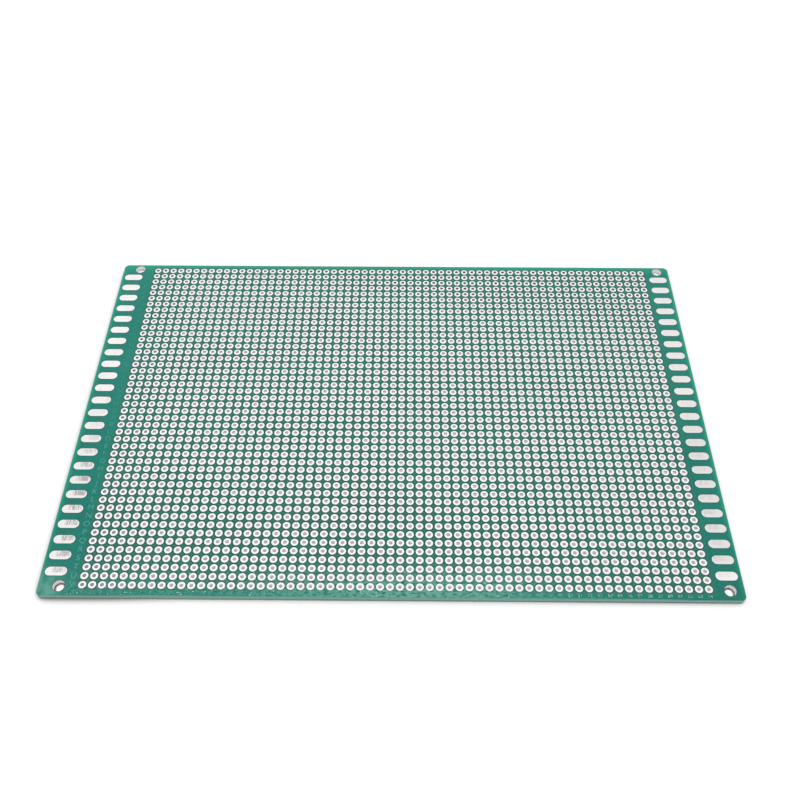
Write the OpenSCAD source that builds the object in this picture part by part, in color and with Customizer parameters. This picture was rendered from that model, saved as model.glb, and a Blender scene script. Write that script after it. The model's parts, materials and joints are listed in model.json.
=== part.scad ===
// Double-sided prototype circuit board: a drilled glass-epoxy laminate with a
// full grid of plated, tinned holes and a column of oblong terminal pads along
// each short edge, on both faces. +X runs along the board's length, +Y towards
// the far long edge and +Z out of the component face. The origin is under the
// middle of the outline, on the surface that the board lies on.

/* [Board] */
// Length of the board along X
board_l = 180.5; // [60:0.5:200]
// Width of the board along Y
board_w = 120; // [40:0.5:144]
// Thickness of the laminate at its middle
board_t = 1.6; // [0.8:0.1:3.2]
// Radius of the four outline corners
corner_r = 1.5; // [0.2:0.1:3]
// How much thinner the pressed laminate is at its long edges than at its middle
edge_thinning = 0.02; // [0.01:0.01:0.1]

/* [Hole grid] */
// Distance between neighbouring holes, along X and along Y
hole_pitch = 2.54; // [2:0.01:5.08]
// Least distance from the left edge to the first column of holes
margin_left = 11.2; // [9:0.1:20]
// Least distance from the last column of holes to the right edge
margin_right = 8.9; // [8.5:0.1:20]
// Least distance from the far edge to the first row of holes
margin_far = 2.3; // [1.5:0.1:20]
// Least distance from the last row of holes to the near edge
margin_near = 2.9; // [1.5:0.1:20]

/* [Plated holes] */
// Finished bore of each plated hole
bore_d = 1.0; // [0.7:0.05:1.3]
// Wall of the copper and tin barrel inside the laminate
plating_t = 0.05; // [0.03:0.01:0.1]
// Bare strip between the pads of neighbouring holes
pad_gap = 0.48; // [0.2:0.02:0.8]
// Height of the tinned pad above the laminate, at the rim of its bore
solder_h = 0.06; // [0.03:0.01:0.15]

/* [Terminal pads] */
// Distance between neighbouring terminal pads along Y
terminal_pitch = 4.667; // [4:0.001:8]
// Length of a terminal pad along X, over its round ends
terminal_l = 5.9; // [4:0.1:6.5]
// Width of a terminal pad along Y
terminal_w = 2.65; // [1.5:0.05:3.5]
// Height of a terminal pad above the laminate
terminal_h = 0.08; // [0.07:0.01:0.15]
// Distance from the short edge of the board to the end of a terminal pad
terminal_inset = 0.85; // [0.5:0.05:2]
// Least clear strip along Y from a far mounting hole to the first terminal pad
terminal_clear_far = 0.6; // [0.4:0.05:3]
// Least clear strip along Y from the last terminal pad to a near mounting hole
terminal_clear_near = 0.95; // [0.4:0.05:3]

/* [Mounting holes] */
// Diameter of the four unplated mounting holes
mount_d = 3.1; // [2:0.1:3.5]
// Distance from the left edge to the centres of the left pair
mount_left = 5.4; // [3:0.1:8]
// Distance from the right edge to the centres of the right pair
mount_right = 3.7; // [3:0.1:8]
// Distance from the far edge to the centres of the far pair
mount_far = 2.0; // [2:0.1:6]
// Distance from the near edge to the centres of the near pair
mount_near = 2.8; // [2:0.1:6]

/* [Clearances] */
// Radial clearance between a barrel and its drilled hole
barrel_fit = 0.02; // [0.005:0.005:0.05]
// Clearance between a pad and the face that it lies on
pad_seat = 0.002; // [0.001:0.001:0.01]

/* [Hidden] */
$fn = 24;

// Outline
left_x = -board_l / 2;
right_x = board_l / 2;
far_y = board_w / 2;
near_y = -board_w / 2;

// Heights: the terminal pads of the underside carry the board
under_z = terminal_h + pad_seat;
top_z = under_z + board_t;

// Hole grid: as many whole pitches as the margins leave, centred between them
columns = 1 + floor((board_l - margin_left - margin_right) / hole_pitch);
rows = 1 + floor((board_w - margin_far - margin_near) / hole_pitch);
spare_x = board_l - margin_left - margin_right - (columns - 1) * hole_pitch;
spare_y = board_w - margin_far - margin_near - (rows - 1) * hole_pitch;
first_x = left_x + margin_left + spare_x / 2;
first_y = far_y - margin_far - spare_y / 2;
function column_x(c) = first_x + c * hole_pitch;
function row_y(r) = first_y - r * hole_pitch;

// Plated holes
barrel_d = bore_d + 2 * plating_t;
drill_d = barrel_d + 2 * barrel_fit;
pad_d = hole_pitch - pad_gap;

// Terminal pads: as many whole pitches as fit between the mounting holes
terminal_far = far_y - mount_far - mount_d / 2 - terminal_clear_far - terminal_w / 2;
terminal_near = near_y + mount_near + mount_d / 2 + terminal_clear_near + terminal_w / 2;
terminals = 1 + floor((terminal_far - terminal_near) / terminal_pitch);
terminal_mid = (terminal_far + terminal_near) / 2;
terminal_x = board_l / 2 - terminal_inset - terminal_l / 2;
function terminal_y(k) = terminal_mid + (k - (terminals - 1) / 2) * terminal_pitch;

// Pressed laminate: each face falls away from the middle towards the long edges,
// in flat bands whose folds run between two rows of holes
bands = 8;
function surface_drop(y) = round(edge_thinning / 2 * pow(2 * y / board_w, 2) * 10000) / 10000;
function fold_y(k) = row_y(round(k * rows / bands) - 0.5);
folds = concat([far_y + 1], [for (k = [1 : bands - 1]) fold_y(k)], [near_y - 1]);

// One node per piece, with the plated holes of a row kept together
function row_name(r) = str("plated_row_", r < 9 ? "0" : "", r + 1);

// Outline of the board with its four rounded corners
module outline() {
    square([board_l - 2 * corner_r, board_w], center = true);
    square([board_l, board_w - 2 * corner_r], center = true);
    for (x = [-1, 1], y = [-1, 1])
        translate([x * (board_l / 2 - corner_r), y * (board_w / 2 - corner_r)])
            circle(r = corner_r);
}

// Cross-section of the pressed sheet, across the board's width
module sheet_section() {
    polygon(concat(
        [for (y = folds) [y, under_z + surface_drop(y)]],
        [for (k = [bands : -1 : 0]) [folds[k], top_z - surface_drop(folds[k])]]
    ));
}

// Undrilled sheet, cut to the outline
module blank() {
    intersection() {
        rotate([90, 0, 90])
            translate([0, 0, left_x - 1])
                linear_extrude(board_l + 2)
                    sheet_section();
        linear_extrude(top_z + 1)
            outline();
    }
}

// Places its children at the four mounting holes
module at_mounts() {
    for (x = [left_x + mount_left, right_x - mount_right], y = [near_y + mount_near, far_y - mount_far])
        translate([x, y])
            children();
}

// Drilled laminate
module substrate() {
    color([0.10, 0.50, 0.39])
        difference() {
            blank();
            for (r = [0 : rows - 1], c = [0 : columns - 1])
                translate([column_x(c), row_y(r), -1])
                    cylinder(d = drill_d, h = top_z + 2);
            at_mounts()
                translate([0, 0, -1])
                    cylinder(d = mount_d, h = top_z + 2);
        }
}

// One plated hole: a barrel with a tinned pad on each face, in one revolve
module plated_hole(low, high) {
    rotate_extrude()
        polygon([
            [bore_d / 2, low - solder_h],
            [pad_d / 2, low],
            [barrel_d / 2, low],
            [barrel_d / 2, high],
            [pad_d / 2, high],
            [bore_d / 2, high + solder_h]
        ]);
}

// The plated holes of one row
module plated_row(r) {
    drop = surface_drop(row_y(r));
    color([0.93, 0.93, 0.92])
        for (c = [0 : columns - 1])
            translate([column_x(c), row_y(r), 0])
                plated_hole(under_z + drop - pad_seat, top_z - drop + pad_seat);
}

// One oblong pad with round ends
module terminal() {
    linear_extrude(terminal_h) {
        square([terminal_l - terminal_w, terminal_w], center = true);
        for (x = [-1, 1])
            translate([x * (terminal_l - terminal_w) / 2, 0])
                circle(d = terminal_w);
    }
}

// A column of terminal pads: side is -1 at the left edge and 1 at the right
module terminals_top(side) {
    color([0.93, 0.93, 0.92])
        for (k = [0 : terminals - 1])
            translate([side * terminal_x, terminal_y(k), top_z - surface_drop(terminal_y(k)) + pad_seat])
                terminal();
}

module terminals_under(side) {
    color([0.93, 0.93, 0.92])
        for (k = [0 : terminals - 1])
            translate([side * terminal_x, terminal_y(k), surface_drop(terminal_y(k))])
                terminal();
}

substrate();
for (r = [0 : rows - 1])
    plated_row(r);
terminals_top(-1);  // terminals_top_left
terminals_top(1);  // terminals_top_right
terminals_under(-1);  // terminals_under_left
terminals_under(1);  // terminals_under_right
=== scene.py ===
"""Finishes, fine detail and studio stage for a double-sided prototype circuit board."""

import json
import logging
import math
import random
from dataclasses import dataclass
from enum import Enum
from functools import partial, reduce
from typing import Any, Iterator, NamedTuple

import bpy
from mathutils import Matrix, Vector
from mathutils.geometry import delaunay_2d_cdt


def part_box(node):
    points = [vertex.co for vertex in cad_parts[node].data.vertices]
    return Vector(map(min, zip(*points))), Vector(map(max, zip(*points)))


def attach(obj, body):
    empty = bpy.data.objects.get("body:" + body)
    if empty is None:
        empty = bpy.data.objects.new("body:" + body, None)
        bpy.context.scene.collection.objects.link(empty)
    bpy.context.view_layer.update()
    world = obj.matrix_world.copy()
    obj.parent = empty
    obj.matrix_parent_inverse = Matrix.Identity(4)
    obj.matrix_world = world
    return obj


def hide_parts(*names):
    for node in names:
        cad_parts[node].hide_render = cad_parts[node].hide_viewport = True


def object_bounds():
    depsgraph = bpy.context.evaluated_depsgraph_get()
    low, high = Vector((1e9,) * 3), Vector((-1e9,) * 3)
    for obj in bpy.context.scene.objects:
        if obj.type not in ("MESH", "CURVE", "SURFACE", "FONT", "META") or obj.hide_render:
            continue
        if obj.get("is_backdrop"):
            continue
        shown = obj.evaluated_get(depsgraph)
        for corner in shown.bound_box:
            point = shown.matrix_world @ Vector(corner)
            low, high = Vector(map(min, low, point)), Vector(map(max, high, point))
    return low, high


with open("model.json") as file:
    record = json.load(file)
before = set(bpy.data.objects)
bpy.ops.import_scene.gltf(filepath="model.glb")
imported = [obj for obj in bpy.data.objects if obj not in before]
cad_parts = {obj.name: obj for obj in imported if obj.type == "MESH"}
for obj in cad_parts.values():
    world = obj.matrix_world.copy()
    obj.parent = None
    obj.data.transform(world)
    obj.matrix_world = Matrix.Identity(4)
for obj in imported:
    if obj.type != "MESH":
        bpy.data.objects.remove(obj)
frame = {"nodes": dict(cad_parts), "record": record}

MM = 0.001
CAD_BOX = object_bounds()
LOG = logging.getLogger("prototype_board")
# Least share of a normal that points up or down on a flat face
FLAT_LIFT = 0.7
# Names of the terminal pads' point attributes
PAD_PLACE = "pad_place"
PAD_RIM = "pad_rim"
Point = tuple[float, float]
Place = tuple[float, float, float]
Colour = tuple[float, float, float]
Face = tuple[int, ...]
Socket = bpy.types.NodeSocket
Material = bpy.types.Material
Piece = bpy.types.Object


class Side(Enum):
    """The two printed sides of the board, with the direction that each one faces."""

    TOP = 1
    UNDER = -1

    def wind(self, face: Face) -> Face:
        """Orders a face's corners so that it faces out of this side."""
        return face if self is Side.TOP else face[::-1]


class Slot(Enum):
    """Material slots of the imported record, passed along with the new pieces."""

    LAMINATE = "laminate"
    TERMINALS = "tinned_terminals"


class Slope(NamedTuple):
    """A smooth change of a value over a stretch.

    Attributes:
        start: Where the change begins.
        end: Where it ends.
        low: Value at the beginning.
        high: Value at the end.
    """

    start: float
    end: float
    low: float = 0.0
    high: float = 1.0


# ---------------- measured plan


def plated_rows() -> list[str]:
    """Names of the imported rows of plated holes, from the far row to the near one."""
    return sorted(name for name in frame["nodes"] if name.startswith("plated_row_"))


def packed_mount(name: str) -> dict[str, Any]:
    """The record's mount of that name."""
    return next(mount for mount in frame["record"]["mounts"] if mount["name"] == name)


@dataclass(frozen=True)
class HoleGrid:
    """The grid of plated holes.

    Attributes:
        first: Centre of the hole at the far left.
        pitch: Distance between neighbouring holes.
        columns: Holes along the length.
        rows: Holes along the width.
        pad_radius: Outer radius of a soldered pad.
        bore_radius: Radius of the open bore.
    """

    first: Point
    pitch: float
    columns: int
    rows: int
    pad_radius: float
    bore_radius: float

    @classmethod
    def measure(cls) -> "HoleGrid":
        """Reads the grid from the boxes of the first and last row of plated holes.

        Returns:
            The measured grid.
        """
        names = plated_rows()
        low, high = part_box(names[0])
        last_low, last_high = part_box(names[-1])
        radius = (high.y - low.y) / 2
        first_y, last_y = (high.y + low.y) / 2, (last_high.y + last_low.y) / 2
        pitch = (first_y - last_y) / (len(names) - 1)
        columns = 1 + round((high.x - low.x - 2 * radius) / pitch)
        bore = packed_mount("lead_hole")["dims"]["r_mm"] * MM
        return cls((low.x + radius, first_y), pitch, columns, len(names), radius, bore)

    def centre(self, column: int, row: int) -> Point:
        """Centre of one hole, counted from the far left."""
        return self.first[0] + column * self.pitch, self.first[1] - row * self.pitch

    def centres(self) -> Iterator[Point]:
        """Goes over the centres of all holes, row by row from the far left."""
        for row in range(self.rows):
            yield from (self.centre(column, row) for column in range(self.columns))

    def nearest(self, x: float, y: float) -> Point:
        """Finds the hole that is nearest to a place.

        Args:
            x: Place along the board's length.
            y: Place along its width.

        Returns:
            The centre of that hole.
        """
        column = round((x - self.first[0]) / self.pitch)
        row = round((self.first[1] - y) / self.pitch)
        return self.centre(min(max(column, 0), self.columns - 1), min(max(row, 0), self.rows - 1))


@dataclass(frozen=True)
class TerminalColumn:
    """One column of long edge pads on one side of the board.

    Attributes:
        node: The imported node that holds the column.
        low: Lowest corner of the column.
        high: Highest corner of the column.
        pitch: Distance between neighbouring pads.
        width: Width of a pad across its rounded ends.
    """

    node: str
    low: Vector
    high: Vector
    pitch: float = 4.667 * MM
    width: float = 2.65 * MM

    @property
    def length(self) -> float:
        """Length of a pad over its rounded ends."""
        return self.high.x - self.low.x

    def centres(self) -> Iterator[Point]:
        """Goes over the centres of the pads, from near to far.

        Yields:
            The centre of a pad.
        """
        span = self.high.y - self.low.y - self.width
        steps = round(span / self.pitch)
        for k in range(steps + 1):
            yield (self.low.x + self.high.x) / 2, self.low.y + self.width / 2 + k * (span / steps)


@dataclass(frozen=True)
class BoardPlan:
    """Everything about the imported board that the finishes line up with.

    Attributes:
        low: Lowest corner of the bare laminate.
        high: Highest corner of the bare laminate.
        grid: The grid of plated holes.
        columns: Terminal pad columns on each side.
        mounts: Centres of the four mounting holes.
        mount_radius: Radius of a mounting hole.
        corner_radius: Radius of the board's corners.
    """

    low: Vector
    high: Vector
    grid: HoleGrid
    columns: dict[Side, list[TerminalColumn]]
    mounts: list[Point]
    mount_radius: float
    corner_radius: float = 1.5 * MM

    @classmethod
    def measure(cls) -> "BoardPlan":
        """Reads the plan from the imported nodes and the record's mounts.

        Returns:
            The measured plan.
        """
        low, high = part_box("substrate")
        bolts = packed_mount("corner_holes")
        dims, (x, y, _) = bolts["dims"], bolts["pos_m"]
        half_x, half_y = dims["spacing_x_mm"] * MM / 2, dims["spacing_y_mm"] * MM / 2
        mounts = [(x + i * half_x, y + j * half_y) for i in (-1, 1) for j in (-1, 1)]
        columns = {}
        for side in Side:
            names = [f"terminals_{side.name.lower()}_{end}" for end in ("left", "right")]
            columns[side] = [TerminalColumn(name, *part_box(name)) for name in names]
        return cls(low, high, HoleGrid.measure(), columns, mounts, dims["hole_r_mm"] * MM)

    def face_z(self, side: Side) -> float:
        """Height of the laminate's face on that side, where it stands proudest."""
        return self.high.z if side is Side.TOP else self.low.z


# ---------------- shader wiring


class Graph:
    """A node tree being wired, for a material, a world or a group."""

    def __init__(self, tree: bpy.types.NodeTree) -> None:
        """Empties the tree and keeps it."""
        self.tree = tree
        tree.nodes.clear()

    def add(self, kind: str, inputs: dict[Any, Any] | None = None, **settings: Any) -> bpy.types.Node:
        """Adds a node.

        Args:
            kind: Blender's node type.
            inputs: Socket name or number, with a value or the output that feeds it.
            settings: Properties of the node.

        Returns:
            The new node.
        """
        node = self.tree.nodes.new(kind)
        for name, value in settings.items():
            setattr(node, name, value)
        for name, value in (inputs or {}).items():
            self.feed(node.inputs[name], value)
        return node

    def feed(self, socket: Socket, value: Any) -> None:
        """Links an output to a socket, or sets the socket's own value.

        Args:
            socket: The input socket.
            value: The output that feeds it, or its value.
        """
        if isinstance(value, Socket):
            self.tree.links.new(value, socket)
        else:
            socket.default_value = (*value, 1.0) if socket.type == "RGBA" else value

    def math(self, operation: str, *values: Any, clamp: bool = False) -> Socket:
        """Adds a Math node and returns its output."""
        inputs = dict(enumerate(values))
        return self.add("ShaderNodeMath", inputs, operation=operation, use_clamp=clamp).outputs[0]

    def product(self, *values: Any) -> Socket:
        """Multiplies any number of values."""
        return reduce(partial(self.math, "MULTIPLY"), values)

    def least(self, *values: Any) -> Socket:
        """Takes the least of any number of values."""
        return reduce(partial(self.math, "MINIMUM"), values)

    def greatest(self, *values: Any) -> Socket:
        """Takes the greatest of any number of values."""
        return reduce(partial(self.math, "MAXIMUM"), values)

    def vector(self, operation: str, *values: Any, result: int = 0) -> Socket:
        """Adds a Vector Math node and returns one of its outputs."""
        inputs = dict(enumerate(values))
        return self.add("ShaderNodeVectorMath", inputs, operation=operation).outputs[result]

    def scaled(self, vector: Socket, share: Socket) -> Socket:
        """Scales a vector or a colour and returns the result."""
        return self.add("ShaderNodeVectorMath", {0: vector, "Scale": share}, operation="SCALE").outputs[0]

    def split(self, vector: Socket) -> Any:
        """Takes a vector apart into its X, Y and Z."""
        return self.add("ShaderNodeSeparateXYZ", {0: vector}).outputs

    def joined(self, x: Any, y: Any, z: Any = 0.0) -> Socket:
        """Makes a vector of X, Y and Z."""
        return self.add("ShaderNodeCombineXYZ", {0: x, 1: y, 2: z}).outputs[0]

    def place(self) -> Socket:
        """Reads the place on the board, in metres."""
        return self.add("ShaderNodeTexCoord").outputs["Object"]

    def blend(self, factor: Any, low: Any, high: Any, data_type: str = "RGBA") -> Socket:
        """Mixes two colours or two vectors.

        Args:
            factor: Share of the second one.
            low: The first colour or vector.
            high: The second one.
            data_type: "RGBA" for colours and "VECTOR" for vectors.

        Returns:
            The mixture.
        """
        node = self.add("ShaderNodeMix", data_type=data_type)
        # The node keeps a pair of inputs and an output for each type of data
        first, result = (6, 2) if data_type == "RGBA" else (4, 1)
        for index, value in ((0, factor), (first, low), (first + 1, high)):
            self.feed(node.inputs[index], value)
        return node.outputs[result]

    def ramp(self, value: Any, start: float, end: float, low: float = 0.0, high: float = 1.0) -> Socket:
        """Maps start..end smoothly to low..high, and returns the result."""
        inputs = {0: value, 1: start, 2: end, 3: low, 4: high}
        return self.add("ShaderNodeMapRange", inputs, interpolation_type="SMOOTHSTEP").outputs[0]

    def edge_depths(self) -> list[Socket]:
        """Distances inwards from the edges of the board, in metres.

        Returns:
            The distances from the left, right, near and far edge.
        """
        depths = []
        for place, least, most in zip(self.split(self.place()), CAD_BOX[0].xy, CAD_BOX[1].xy):
            depths.append(self.math("SUBTRACT", place, least))
            depths.append(self.math("SUBTRACT", most, place))
        return depths

    def bump(self, height: Socket, strength: float) -> Socket:
        """Makes the normal of a surface that is uneven by a fiftieth of a millimetre."""
        inputs = {"Strength": strength, "Distance": 0.02 * MM, "Height": height}
        return self.add("ShaderNodeBump", inputs).outputs[0]

    def facing(self) -> tuple[Socket, Socket, Socket]:
        """Tells flat faces from upright walls.

        Returns:
            The normal, its share upwards, and a mask that is 1 on a flat face.
        """
        normal = self.add("ShaderNodeNewGeometry").outputs["True Normal"]
        lift = self.split(normal)["Z"]
        return normal, lift, self.math("GREATER_THAN", self.math("ABSOLUTE", lift), FLAT_LIFT)


class MaterialGraph(Graph):
    """The nodes of one new material."""

    def __init__(self, name: str) -> None:
        """Makes the material, with no nodes yet.

        Args:
            name: Name of the material.
        """
        self.material = bpy.data.materials.new(name)
        self.material.use_nodes = True
        super().__init__(self.material.node_tree)

    def close(self, inputs: dict[str, Any], glow: Socket | None = None) -> Material:
        """Ends the material in a Principled shader.

        Args:
            inputs: The shader's inputs.
            glow: Strength of a white glow that is added to it.

        Returns:
            The finished material.
        """
        surface = self.add("ShaderNodeBsdfPrincipled", inputs).outputs[0]
        if glow is not None:
            light = self.add("ShaderNodeEmission", {"Color": (1.0, 1.0, 1.0), "Strength": glow}).outputs[0]
            surface = self.add("ShaderNodeAddShader", {0: surface, 1: light}).outputs[0]
        self.add("ShaderNodeOutputMaterial", {0: surface})
        return self.material


class GroupGraph(Graph):
    """The nodes of one new shader group."""

    def __init__(self, name: str, inputs: dict[str, float], outputs: dict[str, str]) -> None:
        """Makes the group with its sockets.

        Args:
            name: Name of the group.
            inputs: Names of its number inputs, with their default values.
            outputs: Names of its outputs, with their types.
        """
        super().__init__(bpy.data.node_groups.new(name, "ShaderNodeTree"))
        sockets = self.tree.interface
        for label, value in inputs.items():
            socket = sockets.new_socket(label, in_out="INPUT", socket_type="NodeSocketFloat")
            socket.default_value = value
        for label, kind in outputs.items():
            sockets.new_socket(label, in_out="OUTPUT", socket_type="NodeSocket" + kind)
        self.given = self.add("NodeGroupInput").outputs
        self.result = self.add("NodeGroupOutput").inputs

    def close_noise(self, place: Socket, detail: Any) -> bpy.types.NodeTree:
        """Ends a group with Grain, Start and End inputs in noise, stretched to fill its Mask output.

        Args:
            place: Where to read the noise.
            detail: How many finer layers the noise has.

        Returns:
            The finished group.
        """
        inputs = {"Vector": place, "Scale": self.given["Grain"], "Detail": detail}
        noise = self.add("ShaderNodeTexNoise", inputs).outputs[0]
        mask = self.add("ShaderNodeMapRange", {0: noise, 1: self.given["Start"], 2: self.given["End"]})
        self.feed(self.result["Mask"], mask.outputs[0])
        return self.tree


class Effects:
    """Shader groups that several finishes share, each built once."""

    def __init__(self, grid: HoleGrid) -> None:
        """Builds every group.

        Args:
            grid: The grid of plated holes.
        """
        self.grid = grid
        self._cell = self._build_cell()
        self._cloud = self._build_cloud()
        self._streak = self._build_streak()

    def _build_cell(self) -> bpy.types.NodeTree:
        """Builds the group for distance and direction from the nearest hole, and each hole's own value.

        Returns:
            The group.
        """
        grid = self.grid
        inputs = {"First X": grid.first[0], "First Y": grid.first[1], "Pitch": grid.pitch}
        inputs |= {"Columns": float(grid.columns), "Rows": float(grid.rows)}
        outputs = {"Radius": "Float", "Outward": "Vector", "Own Value": "Float"}
        graph = GroupGraph("hole_cell", inputs, outputs)
        given, place = graph.given, graph.split(graph.place())
        offsets, numbers = [], []
        for axis, count, sign in (("X", "Columns", 1.0), ("Y", "Rows", -1.0)):
            along = graph.product(graph.math("SUBTRACT", place[axis], given[f"First {axis}"]), sign)
            step = graph.math("ROUND", graph.math("DIVIDE", along, given["Pitch"]))
            step = graph.least(graph.greatest(step, 0.0), graph.math("SUBTRACT", given[count], 1.0))
            rest = graph.math("SUBTRACT", along, graph.product(step, given["Pitch"]))
            offsets.append(graph.product(rest, sign))
            numbers.append(step)
        away, number = graph.joined(*offsets), graph.joined(*numbers)
        noise = graph.add("ShaderNodeTexWhiteNoise", {0: number}, noise_dimensions="2D")
        graph.feed(graph.result["Radius"], graph.vector("LENGTH", away, result=1))
        graph.feed(graph.result["Outward"], graph.vector("NORMALIZE", away))
        graph.feed(graph.result["Own Value"], noise.outputs["Value"])
        return graph.tree

    def _build_cloud(self) -> bpy.types.NodeTree:
        """Builds the group for soft irregular mottling between 0 and 1.

        Returns:
            The group.
        """
        inputs = {"Grain": 100.0, "Detail": 2.0, "Start": 0.35, "End": 0.65}
        graph = GroupGraph("cloud", inputs, {"Mask": "Float"})
        return graph.close_noise(graph.place(), graph.given["Detail"])

    def _build_streak(self) -> bpy.types.NodeTree:
        """Builds the group for uneven streaks between 0 and 1, drawn out along X or Y.

        Returns:
            The group.
        """
        inputs = {"Grain": 900.0, "Along X": 1.0, "Along Y": 1.0, "Start": 0.45, "End": 0.7}
        graph = GroupGraph("streak", inputs, {"Mask": "Float"})
        scale = graph.joined(graph.given["Along X"], graph.given["Along Y"], 1.0)
        return graph.close_noise(graph.vector("MULTIPLY", graph.place(), scale), 3.0)

    def _put(self, graph: Graph, group: bpy.types.NodeTree, values: dict[str, float]) -> Any:
        """Puts a group into a graph, with its input values by name, and returns its outputs."""
        inputs = {name.replace("_", " "): value for name, value in values.items()}
        return graph.add("ShaderNodeGroup", inputs, node_tree=group).outputs

    def cell(self, graph: Graph) -> Any:
        """Distance and direction from the nearest hole's centre, with a value of each hole's own."""
        return self._put(graph, self._cell, {})

    def cloud(self, graph: Graph, **values: float) -> Socket:
        """Mask of soft irregular mottling."""
        return self._put(graph, self._cloud, values)["Mask"]

    def streak(self, graph: Graph, **values: float) -> Socket:
        """Mask of uneven streaks, drawn out along one direction of the board."""
        return self._put(graph, self._streak, values)["Mask"]


# ---------------- finishes


@dataclass(frozen=True)
class Scuffs:
    """Where handling has dulled the resist: a strip and a brink along the near edge, and its left corner.

    The strip, the brink and the corner fade with the distance from there, and each rise and fall is
    their strength over the distance from the left edge.
    """

    rise: Slope = Slope(35 * MM, 90 * MM, 0.25, 0.85)
    fall: Slope = Slope(105 * MM, 145 * MM, 0.85, 0.05)
    strip: Slope = Slope(1.9 * MM, 15 * MM, 1.0, 0.0)
    strip_power: float = 1.7
    corner: Slope = Slope(3 * MM, 10 * MM, 0.7, 0.0)
    brink: Slope = Slope(0.1 * MM, 0.5 * MM, 0.8, 0.0)
    brink_rise: Slope = Slope(8 * MM, 30 * MM)
    brink_fall: Slope = Slope(155 * MM, 170 * MM, 1.0, 0.0)

    def mask(self, graph: Graph, effects: Effects, left: Socket, near: Socket) -> Socket:
        """Builds the mask of the scuffed resist.

        Args:
            graph: The material's graph.
            effects: The shared shader groups.
            left: Distance from the left edge.
            near: Distance from the near edge.

        Returns:
            The mask, between 0 and 1.
        """
        drawn = effects.streak(graph, Grain=1700.0, Along_X=0.45, Start=0.38, End=0.56)
        strip = graph.math("POWER", graph.ramp(near, *self.strip), self.strip_power)
        along = graph.least(graph.ramp(left, *self.rise), graph.ramp(left, *self.fall))
        blotch = effects.cloud(graph, Grain=420.0, Start=0.3, End=0.62)
        reach = graph.vector("LENGTH", graph.joined(left, near), result=1)
        brink = [graph.ramp(near, *self.brink)]
        brink += [graph.ramp(left, *slope) for slope in (self.brink_rise, self.brink_fall)]
        return graph.greatest(
            graph.product(along, strip, drawn),
            graph.product(graph.ramp(reach, *self.corner), blotch),
            graph.product(*brink),
        )


@dataclass(frozen=True)
class ResistFinish:
    """Green solder resist, printed over copper and glass-epoxy.

    Light comes through at the rim. The crowded green lies between the holes, by the distance from a
    hole in pitches, and the shade lies round an opening. Lightening is what the near and the far edge add.
    """

    deep: Colour = (0.002, 0.172, 0.130)
    light: Colour = (0.013, 0.250, 0.190)
    rim: Colour = (0.016, 0.385, 0.245)
    crowded: Colour = (0.080, 0.140, 0.125)
    scuffed: Colour = (0.170, 0.440, 0.360)
    mottle: float = 0.4
    lightening: tuple[float, float] = (-0.1, 0.45)
    side_rim: Slope = Slope(0.0, 1.5 * MM, 0.8, 0.0)
    side_rim_fade: Slope = Slope(3 * MM, 40 * MM, 0.55, 1.0)
    far_rim: Slope = Slope(0.0, 4.0 * MM, 0.8, 0.0)
    crowding: Slope = Slope(0.64, 0.76, 0.28, 0.0)
    shade: Slope = Slope(0.0, 0.30 * MM, 0.45, 1.0)
    scuffs: Scuffs = Scuffs()
    roughness: float = 0.36
    unevenness: float = 0.08

    def make(self, effects: Effects, opening: float) -> Material:
        """Builds the material.

        Args:
            effects: The shared shader groups.
            opening: Radius of the resist's opening round a pad.

        Returns:
            The finished material.
        """
        graph = MaterialGraph("solder_resist_green")
        broad = effects.cloud(graph, Grain=45.0)
        fine = effects.cloud(graph, Grain=1500.0, Start=0.3, End=0.7)
        left, right, near, far = graph.edge_depths()
        lighter = graph.ramp(near, 0.0, CAD_BOX[1].y - CAD_BOX[0].y, *self.lightening)
        mask = graph.math("MULTIPLY_ADD", graph.math("ADD", broad, fine), self.mottle, lighter, clamp=True)
        colour = graph.blend(mask, self.deep, self.light)
        # Painted light: the resist is lighter at the side and far rims, where light comes through the
        # resin.
        sides = graph.ramp(graph.least(left, right), *self.side_rim)
        sides = graph.product(sides, graph.ramp(near, *self.side_rim_fade))
        colour = graph.blend(graph.greatest(sides, graph.ramp(far, *self.far_rim)), colour, self.rim)
        radius = effects.cell(graph)["Radius"]
        crowding = graph.ramp(graph.math("DIVIDE", radius, effects.grid.pitch), *self.crowding)
        shade = graph.ramp(graph.math("SUBTRACT", radius, opening), *self.shade)
        colour = graph.scaled(graph.blend(crowding, colour, self.crowded), shade)
        colour = graph.blend(self.scuffs.mask(graph, effects, left, near), colour, self.scuffed)
        rough = graph.math("MULTIPLY_ADD", fine, self.unevenness, self.roughness)
        inputs = {"Base Color": colour, "Roughness": rough, "Specular IOR Level": 0.22}
        return graph.close(inputs | {"Normal": graph.bump(fine, strength=0.15)})


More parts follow.
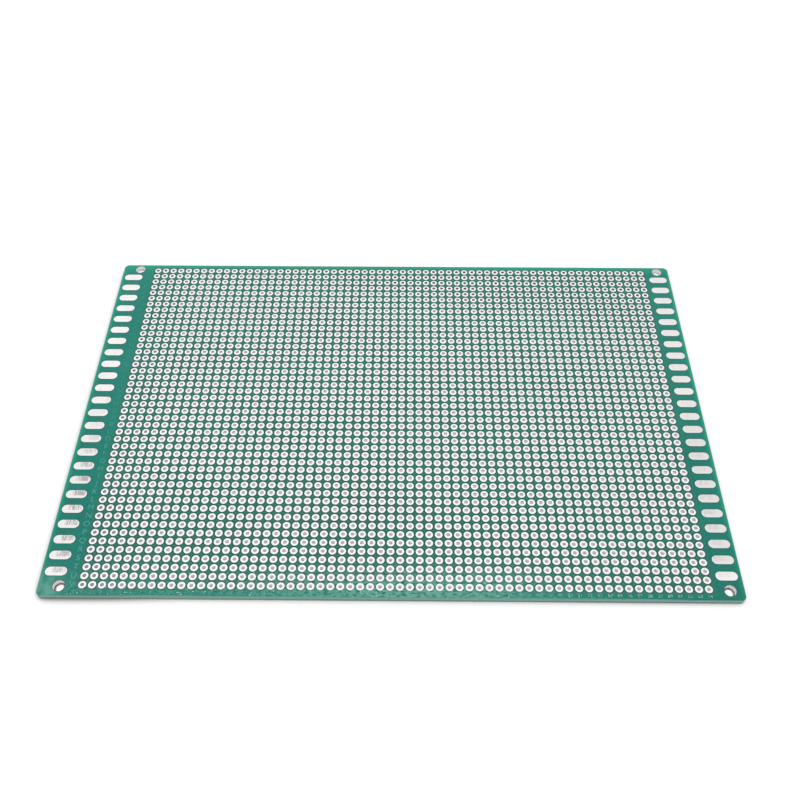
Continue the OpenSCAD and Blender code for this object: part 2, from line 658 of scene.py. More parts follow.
@dataclass(frozen=True)
class LaminateFinish:
    """Bare glass-epoxy: sawn edges with plies and a green lip, drilled walls with painted light towards
    their foot, and faces darker round the pads.
    """

    resin: Colour = (0.115, 0.150, 0.135)
    glass: Colour = (0.185, 0.225, 0.205)
    lip: Colour = (0.165, 0.335, 0.280)
    drilled: Colour = (0.66, 0.65, 0.635)
    drilled_foot_painted_light: Colour = (0.97, 0.96, 0.95)
    gap_face: Colour = (0.008, 0.075, 0.055)
    ply: float = 0.2 * MM
    ply_share: float = 0.25
    lip_height: float = 0.85 * MM
    lip_end: float = 0.75
    outline_depth: float = 0.445 * MM
    roughness: float = 0.5
    unevenness: float = 0.15

    def make(self, effects: Effects, low: float, high: float, rim: float) -> Material:
        """Builds the material.

        Args:
            effects: The shared shader groups.
            low: Height of the laminate's underside.
            high: Height of its upper face.
            rim: Width of the bare rim that the resist leaves at the outline.

        Returns:
            The finished material.
        """
        graph = MaterialGraph("glass_epoxy_laminate")
        height = graph.split(graph.place())["Z"]
        plies = graph.math("SINE", graph.math("MULTIPLY", height, 2 * math.pi / self.ply))
        cloud = effects.cloud(graph, Grain=1500.0)
        weave = graph.math("MULTIPLY_ADD", plies, self.ply_share, cloud, clamp=True)
        sawn = graph.blend(weave, self.resin, self.glass)
        lip = graph.ramp(height, high - self.lip_height, high - self.lip_end * self.lip_height)
        sawn = graph.blend(lip, sawn, self.lip)
        depth = graph.least(*graph.edge_depths())
        # Painted light: the drilled walls grow lighter towards their foot, as if lit from the table below.
        lower = graph.ramp(height, high, (low + high) / 2)
        drilled = graph.blend(lower, self.drilled, self.drilled_foot_painted_light)
        wall = graph.blend(graph.math("GREATER_THAN", depth, self.outline_depth), sawn, drilled)
        # The laminate's face is darker in the gaps round the pads and holes.
        face = graph.blend(graph.math("GREATER_THAN", depth, rim), self.lip, self.gap_face)
        normal, _, flat = graph.facing()
        colour = graph.blend(flat, wall, face)
        rough = graph.math("MULTIPLY_ADD", cloud, self.unevenness, self.roughness)
        inputs = {"Base Color": colour, "Roughness": rough, "Specular IOR Level": 0.3}
        return graph.close(inputs | {"Normal": normal})


@dataclass(frozen=True)
class HoleFinish:
    """Hot-air-levelled tin of the plated holes: a bright crowned ring, and a bore with lips.

    The tones and the lip depth with near in their names hold close to the near edge, by the place
    along Y. The bore's tones are painted light and shade: a darker lip band over a light deep wall away
    from the near edge, and a light lip over a darker deep wall close to it. The first columns and the
    far right corner are painted darker, as shade on the bores.
    """

    bright: Colour = (0.955, 1.0, 0.99)
    dull: Colour = (0.90, 0.95, 0.94)
    own_share: float = 0.35
    cloud_share: float = 0.4
    # The bore and lip tones are painted light and shade, not the tin's own colour.
    bore: Colour = (0.98, 0.94, 0.945)
    bore_near_painted_shade: Colour = (0.62, 0.565, 0.57)
    lip: Colour = (0.62, 0.575, 0.58)
    lip_near_painted_highlight: Colour = (1.0, 0.97, 0.975)
    metal: float = 0.7
    lip_depth: float = 0.40 * MM
    lip_band: tuple[float, float] = (1.4, 0.6)
    lip_depth_near: float = 1.25 * MM
    nearness: Slope = Slope(-50 * MM, -25 * MM, 1.0, 0.0)
    bore_shade_fade: Slope = Slope(-57 * MM, -15 * MM)
    first_columns_painted_shade: Slope = Slope(0.0, 14 * MM, 0.68, 1.0)
    far_corner_painted_shade: Slope = Slope(43 * MM, 55 * MM, 1.0, 0.55)
    slant: float = 0.17
    crown_power: float = 3.0
    crown_lean: float = 0.38
    roughness: float = 0.27
    unevenness: float = 0.12

    def make(self, effects: Effects, low: float, high: float) -> Material:
        """Builds the material.

        Args:
            effects: The shared shader groups.
            low: Height of the rings' rim on the underside.
            high: Height of the rings' rim on the upper face.

        Returns:
            The finished material.
        """
        graph = MaterialGraph("tin_plated_holes")
        cell = effects.cell(graph)
        cloud = graph.math("MULTIPLY", effects.cloud(graph, Grain=1400.0), self.cloud_share)
        mask = graph.math("MULTIPLY_ADD", cell["Own Value"], self.own_share, cloud, clamp=True)
        ring = graph.blend(mask, self.bright, self.dull)
        normal, lift, flat = graph.facing()
        colour = graph.blend(flat, self.bore_colour(graph, effects.grid, low, high), ring)
        crown = self.crown(graph, effects.grid, cell, lift)
        return graph.close(
            {
                "Base Color": colour,
                "Metallic": graph.ramp(flat, 0.0, 1.0, self.metal, 1.0),
                "Roughness": graph.math("MULTIPLY_ADD", mask, self.unevenness, self.roughness),
                "Normal": graph.blend(flat, normal, crown, "VECTOR"),
            }
        )

    def bore_colour(self, graph: Graph, grid: HoleGrid, low: float, high: float) -> Socket:
        """Colours the bores with painted light and shade: lips against the inside, and both by their place
        on the board.

        Args:
            graph: The material's graph.
            grid: The grid of plated holes.
            low: Height of the rings' rim on the underside.
            high: Height of the rings' rim on the upper face.

        Returns:
            The colour.
        """
        x, y, height = graph.split(graph.place())
        off_middle = graph.math("ABSOLUTE", graph.math("SUBTRACT", height, (low + high) / 2))
        nearness = graph.ramp(y, *self.nearness)
        # Away from the near edge: painted shade in a band at the lips, over a wall painted light deeper in.
        lip_ends = [(high - low) / 2 - share * self.lip_depth for share in self.lip_band]
        lip = graph.ramp(off_middle, *lip_ends)
        # Close to the near edge: a painted highlight at the upper lip.
        lip_near_painted_highlight = graph.ramp(height, high - self.lip_depth_near, high)
        lip = graph.product(lip, graph.math("SUBTRACT", 1.0, nearness))
        lip = graph.math("MULTIPLY_ADD", lip_near_painted_highlight, nearness, lip)
        # Painted shade deep in the bores, fading away from the near edge.
        inside = graph.blend(graph.ramp(y, *self.bore_shade_fade), self.bore_near_painted_shade, self.bore)
        colour = graph.blend(lip, inside, graph.blend(nearness, self.lip, self.lip_near_painted_highlight))
        # Painted shade on the bores of the first columns and of the far right corner.
        columns = graph.ramp(graph.math("SUBTRACT", x, grid.first[0]), *self.first_columns_painted_shade)
        corner = graph.ramp(graph.math("MULTIPLY_ADD", x, self.slant, y), *self.far_corner_painted_shade)
        return graph.scaled(colour, graph.product(columns, corner))

    def crown(self, graph: Graph, grid: HoleGrid, cell: Any, lift: Socket) -> Socket:
        """Leans the normal of a ring outwards at its outer rim and inwards at its bore.

        Args:
            graph: The material's graph.
            grid: The grid of plated holes.
            cell: The outputs of the hole cell group.
            lift: Share of the face's normal upwards.

        Returns:
            The normal.
        """
        middle, half = (grid.pad_radius + grid.bore_radius) / 2, (grid.pad_radius - grid.bore_radius) / 2
        across = graph.math("DIVIDE", graph.math("SUBTRACT", cell["Radius"], middle), half)
        lean = graph.math("POWER", graph.math("ABSOLUTE", across), self.crown_power)
        lean = graph.product(lean, self.crown_lean, graph.math("SIGN", across))
        up = graph.joined(0.0, 0.0, graph.math("SIGN", lift))
        return graph.vector("NORMALIZE", graph.vector("ADD", up, graph.scaled(cell["Outward"], lean)))


@dataclass(frozen=True)
class TerminalFinish:
    """Hot-air-levelled tin of the long edge pads, with faint cross streaks and resist lapped over the rim.

    The near half and the far right pads are painted dimmer, as shade, by their place along Y and the side
    along X.
    The dark streaks of a worn pad keep to the shares of its length and width between the worn slopes.
    """

    bright: Colour = (0.955, 0.942, 0.925)
    dull: Colour = (0.85, 0.825, 0.81)
    dim: Colour = (0.80, 0.785, 0.775)
    worn: Colour = (0.36, 0.35, 0.355)
    lapped: Colour = (0.004, 0.15, 0.11)
    dim_far: Slope = Slope(-10 * MM, 12 * MM, 1.0, 0.0)
    dim_near: Slope = Slope(-54 * MM, -48 * MM)
    dim_sides: Slope = Slope(-1 * MM, 1 * MM, 0.45, 0.85)
    far_right: Slope = Slope(-45 * MM, -15 * MM)
    far_right_side: Slope = Slope(-1 * MM, 1 * MM, 0.0, 0.4)
    worn_inward: tuple[Slope, Slope] = (Slope(0.25, 0.45), Slope(0.84, 0.95, 1.0, 0.0))
    worn_across: tuple[Slope, Slope] = (Slope(0.25, 0.45), Slope(0.88, 0.98, 1.0, 0.0))
    lap: float = 0.065 * MM
    lap_blur: float = 0.01 * MM
    roughness: float = 0.27
    unevenness: float = 0.2

    def make(self, effects: Effects) -> Material:
        """Builds the material.

        Args:
            effects: The shared shader groups.

        Returns:
            The finished material.
        """
        graph = MaterialGraph("tin_edge_terminals")
        streak = effects.streak(graph, Grain=620.0, Along_Y=0.35)
        mask = graph.product(streak, effects.cloud(graph, Grain=210.0, Start=0.35, End=0.62))
        x, y, _ = graph.split(graph.place())
        # Painted shade: the near half and the far right pads are dimmed.
        near_half = graph.product(*(graph.ramp(y, *slope) for slope in (self.dim_far, self.dim_near)))
        near_half = graph.product(near_half, graph.ramp(x, *self.dim_sides))
        far_right = graph.product(graph.ramp(x, *self.far_right_side), graph.ramp(y, *self.far_right))
        colour = graph.blend(mask, self.bright, self.dull)
        colour = graph.blend(graph.greatest(near_half, far_right), colour, self.dim)
        own_place = graph.add("ShaderNodeAttribute", attribute_name=PAD_PLACE).outputs["Vector"]
        inward, across, wear = graph.split(own_place)
        ends = [graph.ramp(inward, *slope) for slope in self.worn_inward]
        ends += [graph.ramp(across, *slope) for slope in self.worn_across]
        lines = effects.streak(graph, Grain=3000.0, Along_Y=0.13, Start=0.36, End=0.56)
        colour = graph.blend(graph.product(lines, *ends, wear), colour, self.worn)
        inset = graph.add("ShaderNodeAttribute", attribute_name=PAD_RIM).outputs["Fac"]
        bare = graph.ramp(inset, self.lap - self.lap_blur, self.lap + self.lap_blur)
        return graph.close(
            {
                "Base Color": graph.blend(bare, self.lapped, colour),
                "Metallic": bare,
                "Roughness": graph.math("MULTIPLY_ADD", mask, self.unevenness, self.roughness),
                "Normal": graph.bump(streak, strength=0.12),
            }
        )


@dataclass(frozen=True)
class DustFinish:
    """Pale dust with a greyer mottling."""

    pale: Colour = (0.62, 0.93, 0.84)
    grey: Colour = (0.34, 0.62, 0.54)
    roughness: float = 0.7
    unevenness: float = 0.1

    def make(self, effects: Effects) -> Material:
        """Builds the material.

        Args:
            effects: The shared shader groups.

        Returns:
            The finished material.
        """
        graph = MaterialGraph("pale_dust")
        cloud = effects.cloud(graph, Grain=300.0)
        rough = graph.math("MULTIPLY_ADD", cloud, self.unevenness, self.roughness)
        return graph.close({"Base Color": graph.blend(cloud, self.pale, self.grey), "Roughness": rough})


@dataclass(frozen=True)
class MarkFinish:
    """Index marks: resist over raised copper lines, which fades along Y and flakes at the near edge."""

    line: Colour = (0.10, 0.43, 0.34)
    worn: Colour = (0.02, 0.27, 0.20)
    flaked: Colour = (0.50, 0.70, 0.60)
    mottle: float = 0.5
    faded: Slope = Slope(-35 * MM, 15 * MM, 0.0, 0.75)
    flaked_near: Slope = Slope(-58 * MM, -57.5 * MM, 1.0, 0.0)
    flaked_along: Slope = Slope(0.0, 75 * MM, 0.1, 0.9)
    roughness: float = 0.4
    unevenness: float = 0.1

    def make(self, effects: Effects) -> Material:
        """Builds the material.

        Args:
            effects: The shared shader groups.

        Returns:
            The finished material.
        """
        graph = MaterialGraph("index_mark_lines")
        cloud = effects.cloud(graph, Grain=700.0)
        x, y, _ = graph.split(graph.place())
        wear = graph.math("MULTIPLY_ADD", cloud, self.mottle, graph.ramp(y, *self.faded), clamp=True)
        flaked = effects.cloud(graph, Grain=1100.0, Start=0.42, End=0.58)
        flaked = graph.product(flaked, graph.ramp(y, *self.flaked_near), graph.ramp(x, *self.flaked_along))
        colour = graph.blend(flaked, graph.blend(wear, self.line, self.worn), self.flaked)
        rough = graph.math("MULTIPLY_ADD", cloud, self.unevenness, self.roughness)
        return graph.close({"Base Color": colour, "Roughness": rough, "Specular IOR Level": 0.22})


# ---------------- pieces


def new_piece(
    name: str, points: list[Place], faces: list[Face], finish: Material, slot: Slot, smooth: bool = False
) -> Piece:
    """Makes a mesh piece that rides on the board, and reports it.

    Args:
        name: Name of the piece.
        points: Vertices in metres.
        faces: Vertex numbers of each face.
        finish: Its material.
        slot: The record's slot that the finish belongs to; not used.
        smooth: True for a curved surface.

    Returns:
        The new object.
    """
    mesh = bpy.data.meshes.new(name)
    mesh.from_pydata(points, [], faces)
    mesh.materials.append(finish)
    if smooth:
        mesh.shade_smooth()
    else:
        mesh.shade_flat()
    piece = bpy.data.objects.new(name, mesh)
    bpy.context.scene.collection.objects.link(piece)
    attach(piece, "root")
    LOG.info("%s: %d vertices, %d triangles", name, len(points), sum(len(face) - 2 for face in faces))
    return piece


def arc(centre: Point, radius: float, start: float, end: float, steps: int) -> list[Point]:
    """Points on an arc between two angles in radians, with both ends."""
    angles = [start + k * ((end - start) / steps) for k in range(steps + 1)]
    return [(centre[0] + radius * math.cos(a), centre[1] + radius * math.sin(a)) for a in angles]


def ring(centre: Point, radius: float, steps: int) -> list[Point]:
    """Points round a circle."""
    return arc(centre, radius, 0.0, 2 * math.pi, steps)[:-1]


def long_round(centre: Point, length: float, width: float, steps: int) -> list[Point]:
    """Outlines a pad with half-round ends that lies along X.

    Args:
        centre: Middle of the pad.
        length: Its length over the ends.
        width: Its width.
        steps: Steps round each end.

    Returns:
        The outline's points.
    """
    reach, half = (length - width) / 2, width / 2
    right = arc((centre[0] + reach, centre[1]), half, -math.pi / 2, math.pi / 2, steps)
    return right + arc((centre[0] - reach, centre[1]), half, math.pi / 2, 1.5 * math.pi, steps)


@dataclass
class SolderResist:
    """The printed resist on both faces, open at every pad and hole.

    Attributes:
        plan: The board that it covers.
        thickness: Height above the laminate.
        rim: Bare strip left at the outline.
        clearance: Gap between a pad and the edge of its opening.
        pad_steps: Points round the opening of a plated hole.
        mount_steps: Points round the opening of a mounting hole.
        end_steps: Steps round each end of a terminal pad's opening.
        corner_steps: Steps round a corner of the outline.
    """

    plan: BoardPlan
    thickness: float = 0.018 * MM
    rim: float = 0.10 * MM
    clearance: float = 0.10 * MM
    pad_steps: int = 32
    mount_steps: int = 48
    end_steps: int = 10
    corner_steps: int = 8

    @property
    def opening(self) -> float:
        """Radius of the opening round the pad of a plated hole."""
        return self.plan.grid.pad_radius + self.clearance

    def outline(self) -> list[Point]:
        """Draws the resist's own outline with its rounded corners.

        Returns:
            The outline's points.
        """
        low, high, inset = self.plan.low, self.plan.high, self.plan.corner_radius
        points: list[Point] = []
        for turn, (x, y) in enumerate(((high.x, high.y), (low.x, high.y), (low.x, low.y), (high.x, low.y))):
            centre = (x - math.copysign(inset, x), y - math.copysign(inset, y))
            start = turn * math.pi / 2
            points += arc(centre, inset - self.rim, start, start + math.pi / 2, self.corner_steps)
        return points

    def openings(self, side: Side) -> Iterator[list[Point]]:
        """Draws each opening on that side.

        Args:
            side: The side of the board.

        Yields:
            The points of one opening.
        """
        plan = self.plan
        for centre in plan.grid.centres():
            yield ring(centre, self.opening, self.pad_steps)
        for centre in plan.mounts:
            yield ring(centre, plan.mount_radius + self.clearance, self.mount_steps)
        for column in plan.columns[side]:
            length, width = column.length + 2 * self.clearance, column.width + 2 * self.clearance
            yield from (long_round(centre, length, width, self.end_steps) for centre in column.centres())

    def build(self, side: Side, finish: Material) -> Piece:
        """Builds the resist of one side as one perforated sheet.

        Args:
            side: The side of the board.
            finish: The resist's material.

        Returns:
            The piece.
        """
        points: list[Vector] = []
        loops: list[list[int]] = []
        for loop in (self.outline(), *self.openings(side)):
            loops.append(list(range(len(points), len(points) + len(loop))))
            points += [Vector(p) for p in loop]
        inside_only, tolerance = 1, 1e-7
        flat, _, triangles, _, _, owners = delaunay_2d_cdt(points, [], loops, inside_only, tolerance)
        z = self.plan.face_z(side) + side.value * self.thickness
        faces = [side.wind(tuple(corners)) for corners, own in zip(triangles, owners) if list(own) == [0]]
        name = f"solder_resist_{side.name.lower()}"
        return new_piece(name, [(p.x, p.y, z) for p in flat], faces, finish, Slot.LAMINATE)


@dataclass
class TerminalPads:
    """The long tinned pads at the left and right edge, crowned where the tin ran together.

    Attributes:
        plan: The board that they lie on.
        edge: Share of the pad's height that its edge keeps.
        shoulder: Distance from the edge over which the crown rises.
        crest: Share of the half width at which the last outline lies.
        steps: Steps round each half-round end.
        rings: Steps from the edge to the crest.
        wear: Wear of the left column's pads from near to far, up to the last worn one.
        least_wear: Wear of the others.
        right_wear: Share of the wear on the right column.
    """

    plan: BoardPlan
    edge: float = 0.45
    shoulder: float = 0.9 * MM
    crest: float = 0.999
    steps: int = 12
    rings: int = 7
    wear: tuple[float, ...] = (0.6, 0.75, 0.85, 0.9, 0.9, 0.9, 0.8, 0.7, 0.45, 0.3, 0.2, 0.12)
    least_wear: float = 0.05
    right_wear: float = 0.3

    def profile(self, half_width: float) -> Iterator[tuple[float, float]]:
        """Goes up the side of a pad and over its shoulder.

        Args:
            half_width: Half the pad's width.

        Yields:
            The inset from the pad's edge and the share of its height, for one outline.
        """
        yield 0.0, 0.0
        for k in range(self.rings + 1):
            inset = k / self.rings * half_width * self.crest
            rise = min(inset / self.shoulder, 1.0)
            yield inset, self.edge + (1 - self.edge) * math.sqrt(1 - (1 - rise) ** 2)

    def faces(self, pads: int, side: Side) -> list[Face]:
        """Joins the outlines of each pad in turn.

        Args:
            pads: How many pads there are.
            side: The side of the board.

        Returns:
            The vertex numbers of each face.
        """
        count, outlines = 2 * (self.steps + 1), self.rings + 2
        faces: list[Face] = []
        for pad in range(pads):
            for outline in range(pad * outlines, (pad + 1) * outlines - 1):
                start = outline * count
                for k in range(count):
                    a, b = start + k, start + (k + 1) % count
                    faces.append(side.wind((a, b, b + count, a + count)))
            top = ((pad + 1) * outlines - 1) * count
            faces.append(side.wind(tuple(range(top, top + count))))
        return faces

    def build(self, column: TerminalColumn, side: Side, finish: Material) -> Piece:
        """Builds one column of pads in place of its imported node.

        Args:
            column: The column.
            side: The side of the board.
            finish: The pads' material.

        Returns:
            The piece, which holds each point's place on its pad, the pad's wear and the inset.
        """
        length, width = column.length, column.width
        foot = column.low.z if side is Side.TOP else column.high.z
        height = side.value * (column.high.z - column.low.z)
        on_left = column.low.x < 0
        outer = column.low.x if on_left else column.high.x
        points: list[Place] = []
        places: list[float] = []
        insets: list[float] = []
        centres = list(column.centres())
        for index, centre in enumerate(centres):
            worn = self.wear[index] if index < len(self.wear) else self.least_wear
            worn *= 1.0 if on_left else self.right_wear
            for inset, share in self.profile(width / 2):
                for x, y in long_round(centre, length - 2 * inset, width - 2 * inset, self.steps):
                    points.append((x, y, foot + height * share))
                    places += (abs(x - outer) / length, (y - centre[1]) / width + 0.5, worn)
                    insets.append(inset)
        name = column.node.replace("terminals", "crowned_terminals")
        piece = new_piece(name, points, self.faces(len(centres), side), finish, Slot.TERMINALS, smooth=True)
        attributes = piece.data.attributes
        attributes.new(PAD_PLACE, "FLOAT_VECTOR", "POINT").data.foreach_set("vector", places)
        attributes.new(PAD_RIM, "FLOAT", "POINT").data.foreach_set("value", insets)
        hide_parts(column.node)
        return piece


@dataclass
class IndexMarks:
    """Plain index letters beside the rows and numerals before the columns.

    Attributes:
        plan: The board that they stand on.
        level: Height of the resist over the laminate.
        lift: Height of a line over the resist.
        letter, letter_gap: Size of a letter, and its distance from the first column.
        numeral, numeral_gap: Size of a numeral, and its distance from the last row.
        series: Letters in one run of the alphabet.
        thinning: How much thinner a line is than the plain font's, for a mark one unit high.
        curve_steps: Steps in each curve of a mark.
    """

    plan: BoardPlan
    level: float
    lift: float = 0.008 * MM
    letter: float = 2.3 * MM
    letter_gap: float = 2.75 * MM
    numeral: float = 1.25 * MM
    numeral_gap: float = 2.0 * MM
    series: int = 24
    thinning: float = 0.004
    curve_steps: int = 3

    def marks(self) -> Iterator[tuple[str, Point, float]]:
        """Goes over the letters and then the numerals.

        Yields:
            A mark's text, its centre and its size.
        """
        grid = self.plan.grid
        for row in range(grid.rows):
            x, y = grid.centre(0, row)
            yield chr(ord("A") + row % self.series), (x - self.letter_gap, y), self.letter
        for column in range(grid.columns):
            x, y = grid.centre(column, grid.rows - 1)
            yield str(column + 1), (x, y - self.numeral_gap), self.numeral

    def build(self, side: Side, finish: Material) -> Piece:
        """Builds all marks of one side as one piece.

        Args:
            side: The side of the board.
            finish: The marks' material.

        Returns:
            The piece.
        """
        z = self.plan.face_z(side) + side.value * (self.level + self.lift)
        points: list[Place] = []
        faces: list[Face] = []
        shapes: dict[str, tuple[list[Point], list[Face]]] = {}
        for text, (x, y), size in self.marks():
            if text not in shapes:
                shapes[text] = self.shape(text)
            outline, cells = shapes[text]
            start = len(points)
            points += [(x + side.value * size * px, y + size * py, z) for px, py in outline]
            faces += [tuple(start + k for k in side.wind(cell)) for cell in cells]
        return new_piece(f"index_marks_{side.name.lower()}", points, faces, finish, Slot.LAMINATE)

    def shape(self, text: str) -> tuple[list[Point], list[Face]]:
        """Draws a text flat, thin-lined and centred, one unit high.

        Args:
            text: The text of one mark.

        Returns:
            Its points and its faces, which face up.
        """
        curve = bpy.data.curves.new("index_mark_shape", "FONT")
        curve.body = text
        curve.offset = -self.thinning
        curve.resolution_u = self.curve_steps
        curve.align_x = curve.align_y = "CENTER"
        drawn = bpy.data.objects.new("index_mark_shape", curve)
        bpy.context.scene.collection.objects.link(drawn)
        mesh = drawn.to_mesh()
        outline = [(v.co.x, v.co.y) for v in mesh.vertices]
        cells = [tuple(p.vertices) if p.normal.z > 0 else tuple(p.vertices)[::-1] for p in mesh.polygons]
        drawn.to_mesh_clear()
        bpy.data.objects.remove(drawn)
        bpy.data.curves.remove(curve)
        return outline, cells


@dataclass
class DustSpecks:
    """Pale flakes of dust along the near edge, most of them towards its left corner.

    Attributes:
        plan: The board that they lie on.
        level: Height of the resist over the laminate.
        seed: Seed of the random draws.
        count: How many flakes there are.
        smallest, largest: Least and greatest radius of a flake.
        corners: Corners of a flake.
        raggedness: How much shorter than the radius a corner may be, as a share.
        lift: Height of a flake over the resist.
        margin: Least distance from the left and from the near edge.
        reach: How far beyond it they lie, along X and along Y.
        crowding: How much they crowd towards the near left corner, along X and along Y.
        left_room: How far left of the first column of holes they may lie, clear of the long pads.
    """

    plan: BoardPlan
    level: float
    seed: int = 7
    count: int = 130
    smallest: float = 0.07 * MM
    largest: float = 0.21 * MM
    corners: int = 6
    raggedness: float = 0.4
    lift: float = 0.01 * MM
    margin: Point = (3 * MM, 0.5 * MM)
    reach: Point = (150 * MM, 9 * MM)
    crowding: tuple[float, float] = (1.4, 2.0)
    left_room: float = 3.5 * MM

    def build(self, finish: Material) -> Piece:
        """Builds all flakes as one piece on the upper face.

        Args:
            finish: The dust's material.

        Returns:
            The piece.
        """
        chance = random.Random(self.seed)
        low, z = self.plan.low, self.plan.face_z(Side.TOP) + self.level + self.lift
        points: list[Place] = []
        faces: list[Face] = []
        while len(faces) < self.count:
            x = low.x + self.margin[0] + chance.random() ** self.crowding[0] * self.reach[0]
            y = low.y + self.margin[1] + chance.random() ** self.crowding[1] * self.reach[1]
            if self.is_taken(x, y):
                continue
            size = self.smallest + (self.largest - self.smallest) * chance.random() ** 2
            turn = chance.random() * math.pi
            faces.append(tuple(range(len(points), len(points) + self.corners)))
            for k in range(self.corners):
                radius = size * (1 - self.raggedness + self.raggedness * chance.random())
                angle = turn + 2 * math.pi * k / self.corners
                points.append((x + radius * math.cos(angle), y + radius * math.sin(angle), z))
        return new_piece("dust_specks", points, faces, finish, Slot.LAMINATE)

    def is_taken(self, x: float, y: float) -> bool:
        """Tells whether a place is too close to a hole's pad or a long pad for a flake.

        Args:
            x: Place along the board's length.
            y: Place along its width.

        Returns:
            True if it is.
        """
        grid = self.plan.grid
        on_pad = math.dist((x, y), grid.nearest(x, y)) < grid.pad_radius + self.largest
        return on_pad or x < grid.first[0] - self.left_room


# ---------------- stage


@dataclass
class Studio:
    """White table, soft light from all round and the camera.

    Attributes:
        floor_size: Side of the table.
        white: Colour of the table.
        glow: Extra white that the table shows to the eye.
        under_glow: Painted light: white that it shows through the holes, where the board shades it.
        mirror_glow: White that it shows in bright metal.
        contact: How far the tight shadow along the board's foot reaches.
        contact_left: The same at the left end.
        contact_tone: Share of the white that is left in that shadow.
        contact_tone_left, contact_tone_right: The same at the left and at the right end.
        outline, covered: How the board comes to lie above the table, and to cover it, going inwards.
        left_end, right_end: How far the ends reach, going inwards from the left and the right edge.
        opened, hollow: How the white comes up out of the painted shadow at the foot and in the holes as the
            sky opens.
        hollow_glow: How the glow seen through the holes comes up.
        level: Strength of the soft light.
        dim: Share of that light that is missing low on the right.
        dim_side, dim_turn: Where it is missing, and how as a direction turns there.
        eye: The camera's place, seen from the board's middle at table height.
        forward, right: Where the camera looks, and its right-hand direction.
        lens, sensor: Focal length and sensor width in millimetres.
        clip: The nearest and the farthest distance that it sees.
    """

    floor_size: float = 4.0
    white: Colour = (0.93, 0.93, 0.93)
    glow: float = 0.22
    under_glow: float = 0.45
    mirror_glow: float = 0.76
    contact: float = 1.3 * MM
    contact_left: float = 4.0 * MM
    contact_tone: float = 0.72
    contact_tone_left: float = 0.05
    contact_tone_right: float = 0.56
    outline: Slope = Slope(0.2 * MM, 1.0 * MM)
    covered: Slope = Slope(1.5 * MM, 2.5 * MM)
    left_end: Slope = Slope(5 * MM, 45 * MM, 1.0, 0.0)
    right_end: Slope = Slope(15 * MM, 60 * MM, 1.0, 0.0)
    opened: Slope = Slope(0.25, 0.95)
    hollow: Slope = Slope(0.48, 0.85, 0.12, 1.0)
    hollow_glow: Slope = Slope(0.48, 0.9)
    level: float = 1.0
    dim: float = 0.27
    dim_side: Place = (0.85, 0.22, -0.35)
    dim_turn: Slope = Slope(-0.2, 0.9)
    eye: Place = (0.003489, -0.162778, 0.215495)
    forward: Place = (-0.00579258, 0.6141936, -0.78913413)
    right: Place = (0.99996302, 0.00857434, -0.00066663)
    lens: float = 41.2166
    sensor: float = 36.0
    clip: tuple[float, float] = (0.01, 20.0)

    def build_floor(self) -> None:
        """Builds the table top, which shows white and keeps the board's shadow, with a painted shadow from
        the occlusion and painted light under the board, seen through the holes.
        """
        graph = MaterialGraph("studio_table_white")
        left, right, near, far = graph.edge_depths()
        depths = (graph.least(left, right), graph.least(near, far))
        outside = graph.math("SUBTRACT", 1.0, graph.least(*(graph.ramp(d, *self.outline) for d in depths)))
        covered = graph.least(*(graph.ramp(d, *self.covered) for d in depths))
        leftward = graph.product(graph.ramp(left, *self.left_end), outside)
        # Painted shadow: the occlusion darkens the table's colour and glow along the board's foot and in
        # the holes.
        reach = graph.ramp(leftward, 0.0, 1.0, self.contact, self.contact_left)
        sky = graph.add("ShaderNodeAmbientOcclusion", {"Distance": reach}, samples=16).outputs["AO"]
        kept = graph.ramp(leftward, 0.0, 1.0, self.contact_tone, self.contact_tone_left)
        darker = self.contact_tone - self.contact_tone_right
        kept = graph.math("SUBTRACT", kept, graph.product(graph.ramp(right, *self.right_end), darker))
        lifted = graph.product(graph.ramp(sky, *self.opened), graph.math("SUBTRACT", 1.0, kept))
        hollow = graph.greatest(graph.ramp(sky, *self.hollow), graph.math("SUBTRACT", 1.0, covered))
        share = graph.least(graph.math("ADD", kept, lifted), hollow)
        # Painted light: under the board, the table glows white through the holes.
        through_holes = graph.product(covered, graph.ramp(sky, *self.hollow_glow), self.under_glow)
        to_eye = graph.math("MULTIPLY_ADD", share, self.glow, through_holes)
        path = graph.add("ShaderNodeLightPath").outputs
        to_metal = graph.product(path["Is Glossy Ray"], self.mirror_glow)
        white = graph.blend(share, (0.0, 0.0, 0.0), self.white)
        finish = graph.close(
            {"Base Color": white, "Roughness": 0.8, "Specular IOR Level": 0.1},
            glow=graph.math("MULTIPLY_ADD", path["Is Camera Ray"], to_eye, to_metal),
        )
        mesh = bpy.data.meshes.new("studio_table")
        half, z = self.floor_size / 2, CAD_BOX[0].z
        corners = [(-half, -half, z), (half, -half, z), (half, half, z), (-half, half, z)]
        mesh.from_pydata(corners, [], [tuple(range(4))])
        mesh.materials.append(finish)
        floor = bpy.data.objects.new("studio_table", mesh)
        bpy.context.scene.collection.objects.link(floor)
        floor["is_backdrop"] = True

    def build_light(self) -> None:
        """Sets the soft light, a little dimmer low on the right."""
        world = bpy.data.worlds.new("studio_soft_light")
        world.use_nodes = True
        graph = Graph(world.node_tree)
        direction = graph.add("ShaderNodeTexCoord").outputs["Generated"]
        toward = graph.vector("DOT_PRODUCT", direction, Vector(self.dim_side).normalized(), result=1)
        strength = graph.ramp(toward, *self.dim_turn[:2], self.level, self.level * (1 - self.dim))
        back = graph.add("ShaderNodeBackground", {"Color": (1.0, 1.0, 1.0), "Strength": strength})
        graph.add("ShaderNodeOutputWorld", {0: back.outputs[0]})
        bpy.context.scene.world = world

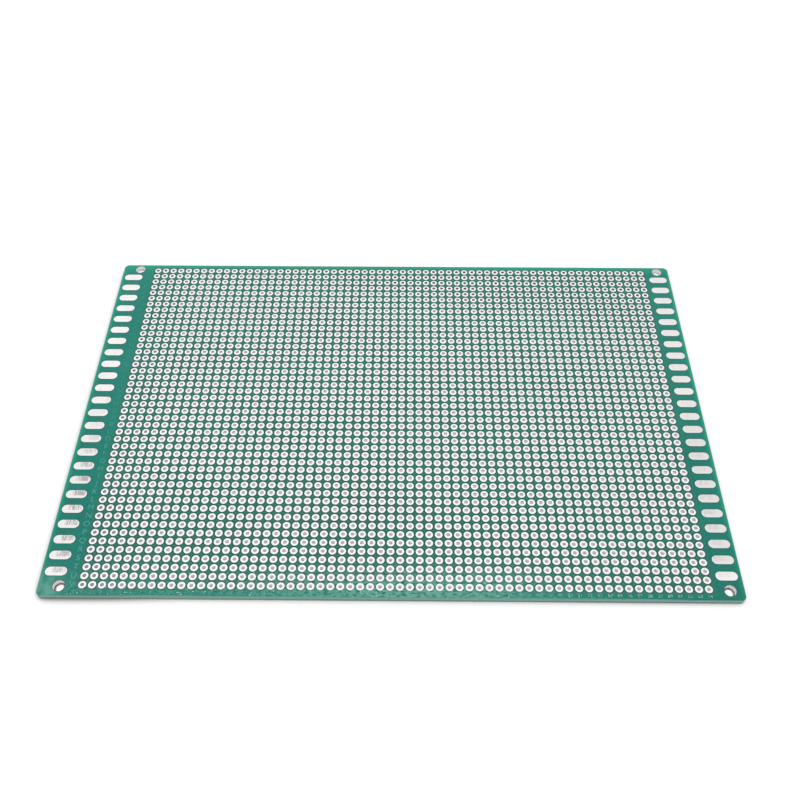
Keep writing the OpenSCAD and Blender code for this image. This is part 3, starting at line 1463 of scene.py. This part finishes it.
    def build_camera(self) -> None:
        """Places the camera."""
        low, high = CAD_BOX
        middle = Vector(((low.x + high.x) / 2, (low.y + high.y) / 2, low.z))
        forward, right = Vector(self.forward).normalized(), Vector(self.right)
        right = (right - forward * forward.dot(right)).normalized()
        turn = Matrix((right, right.cross(forward), -forward)).transposed()
        data = bpy.data.cameras.new("studio_camera")
        data.lens, data.sensor_width = self.lens, self.sensor
        data.clip_start, data.clip_end = self.clip
        camera = bpy.data.objects.new("studio_camera", data)
        camera.matrix_world = Matrix.Translation(middle + Vector(self.eye)) @ turn.to_4x4()
        bpy.context.scene.collection.objects.link(camera)
        bpy.context.scene.camera = camera

    def build(self) -> None:
        """Builds the table, the light and the camera, and sets the plain view."""
        self.build_floor()
        self.build_light()
        self.build_camera()
        bpy.context.scene.view_settings.view_transform = "Standard"


# ---------------- the board


class PrototypeBoard:
    """The whole board: laminate, resist, plated holes, terminal pads, marks and dust."""

    def __init__(self) -> None:
        """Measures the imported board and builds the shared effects."""
        self.plan = BoardPlan.measure()
        self.effects = Effects(self.plan.grid)

    def dress_packed(self, finish: Material, *names: str) -> None:
        """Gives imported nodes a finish.

        Args:
            finish: The material.
            names: The nodes.
        """
        for name in names:
            for slot in frame["nodes"][name].material_slots:
                slot.material = finish
        LOG.info("%s: %d packed nodes", finish.name, len(names))

    def build(self) -> None:
        """Builds and dresses every piece."""
        plan, effects = self.plan, self.effects
        resist, rows = SolderResist(plan), plated_rows()
        laminate = LaminateFinish().make(effects, plan.low.z, plan.high.z, resist.rim)
        self.dress_packed(laminate, "substrate")
        low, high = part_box(rows[0])
        self.dress_packed(HoleFinish().make(effects, low.z, high.z), *rows)
        pads, tin = TerminalPads(plan), TerminalFinish().make(effects)
        marks, line = IndexMarks(plan, resist.thickness), MarkFinish().make(effects)
        green = ResistFinish().make(effects, resist.opening)
        for side in Side:
            resist.build(side, green)
            marks.build(side, line)
            for column in plan.columns[side]:
                pads.build(column, side, tin)
        DustSpecks(plan, resist.thickness).build(DustFinish().make(effects))


def write_sizes() -> None:
    boxes = {"cad": CAD_BOX, "visual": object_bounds()}
    {name: [list(corner) for corner in box] for name, box in boxes.items()}


def main() -> None:
    """Builds the stage and the board."""
    logging.basicConfig(level=logging.INFO, format="%(message)s")
    Studio().build()
    PrototypeBoard().build()
    write_sizes()


if __name__ == "__main__":
    main()
